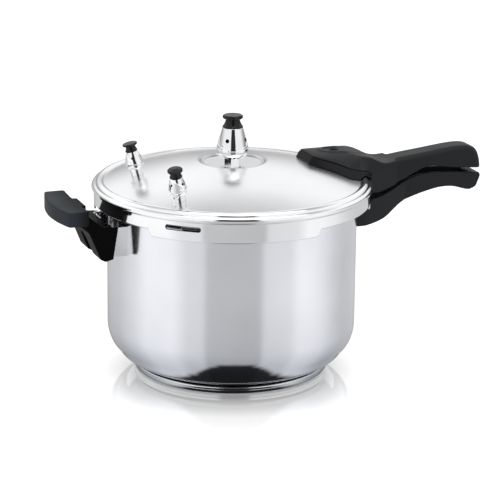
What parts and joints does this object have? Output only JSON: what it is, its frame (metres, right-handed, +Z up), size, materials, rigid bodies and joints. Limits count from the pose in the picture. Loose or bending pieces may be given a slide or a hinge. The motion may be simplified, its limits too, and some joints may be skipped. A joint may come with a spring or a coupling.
{
  "type": "pressure cooker",
  "caption": "Stovetop pressure cooker with a bayonet lid, long paired handles, a helper handle, a weight regulator and small safety valves.",
  "frame": {"origin": "centre of the underside of the base disc, on the body's axis", "axes": "+Z up along the body's axis; +X out along the long handles; the helper handle is at -X"},
  "size_m": [0.4397, 0.2694, 0.249],
  "materials": {
    "body_aluminium": "satin-polished spun aluminium",
    "base_aluminium": "turned aluminium disc",
    "lid_aluminium": "polished spun aluminium",
    "rivet_aluminium": "plain aluminium",
    "bracket_steel": "bright pressed steel",
    "screw_steel": "zinc-plated steel",
    "spring_steel": "stainless spring wire",
    "valve_chrome": "polished chrome on brass",
    "valve_brass": "turned brass",
    "bakelite": "satin black phenolic moulding",
    "bakelite_base": "satin black phenolic moulding",
    "knob_plastic": "glossy black phenolic moulding",
    "seal_rubber": "grey silicone rubber"
  },
  "bodies": {
    "pot": {"pot_shell": "body_aluminium", "base_disc": "base_aluminium", "lower_handle": "bakelite", "lower_bracket": "bracket_steel", "lower_handle_screw": "screw_steel", "lower_handle_nut": "screw_steel", "helper_handle": "bakelite", "helper_bracket": "bracket_steel", "helper_handle_screw": "screw_steel", "helper_handle_nut": "screw_steel"},
    "seal": {"gasket": "seal_rubber"},
    "lid": {"lid_shell": "lid_aluminium", "upper_handle": "bakelite", "upper_handle_base": "bakelite_base", "lid_bracket": "bracket_steel", "lid_bracket_rivets": "rivet_aluminium", "upper_handle_screw": "screw_steel", "rocker_pin": "screw_steel", "float_bush": "valve_brass", "vent_pipe": "valve_brass", "vent_nut": "valve_chrome", "vent_filter": "rivet_aluminium", "front_valve_seat": "valve_chrome", "front_valve_nut": "valve_brass", "front_valve_bell": "valve_chrome", "left_valve_seat": "valve_chrome", "left_valve_nut": "valve_brass", "left_valve_bell": "valve_chrome"},
    "regulator": {"regulator_weight": "valve_chrome", "regulator_knob": "knob_plastic"},
    "front_valve": {"front_valve_stem": "screw_steel", "front_valve_spring": "spring_steel", "front_valve_knob": "knob_plastic"},
    "left_valve": {"left_valve_stem": "screw_steel", "left_valve_spring": "spring_steel", "left_valve_knob": "knob_plastic"},
    "float": {"float_pin": "screw_steel", "float_seal": "seal_rubber"},
    "rocker": {"rocker": "screw_steel"},
    "lock_pin": {"lock_pin": "screw_steel", "lock_spring": "spring_steel"}
  },
  "joints": [
    {"name": "lid_lift", "type": "slide", "parent": "pot", "child": "seal", "axis": [0, 0, 1], "range_m": [0, 0.12]},
    {"name": "lid_turn", "type": "hinge", "parent": "seal", "child": "lid", "pos_m": [0, 0, 0.18], "axis": [0, 0, 1], "range_deg": [0, 60]},
    {"name": "regulator_lift", "type": "slide", "parent": "lid", "child": "regulator", "axis": [0, 0, 1], "range_m": [0, 0.03]},
    {"name": "front_valve_lift", "type": "slide", "parent": "lid", "child": "front_valve", "axis": [-0.206, -0.1908, 0.9598], "range_m": [0, 0.003], "stiffness_N_per_m": 600, "springref_m": -0.002, "deforming": ["front_valve_spring"]},
    {"name": "left_valve_lift", "type": "slide", "parent": "lid", "child": "left_valve", "axis": [-0.2381, 0.0326, 0.9707], "range_m": [0, 0.003], "stiffness_N_per_m": 600, "springref_m": -0.002, "deforming": ["left_valve_spring"]},
    {"name": "float_rise", "type": "slide", "parent": "lid", "child": "float", "axis": [0, 0, 1], "range_m": [0, 0.003]},
    {"name": "rocker_tilt", "type": "hinge", "parent": "lid", "child": "rocker", "pos_m": [0.1215, 0, 0.1936], "axis": [0, 1, 0], "range_deg": [0, 10.39]},
    {"name": "lock_drop", "type": "slide", "parent": "lid", "child": "lock_pin", "axis": [0, 0, -1], "range_m": [0, 0.003], "stiffness_N_per_m": 60, "springref_m": -0.001, "deforming": ["lock_spring"]}
  ],
  "couplings": [
    {"joint": "rocker_tilt", "follows": "float_rise", "rad_per_m": 60.41},
    {"joint": "lock_drop", "follows": "float_rise", "ratio": 1}
  ]
}
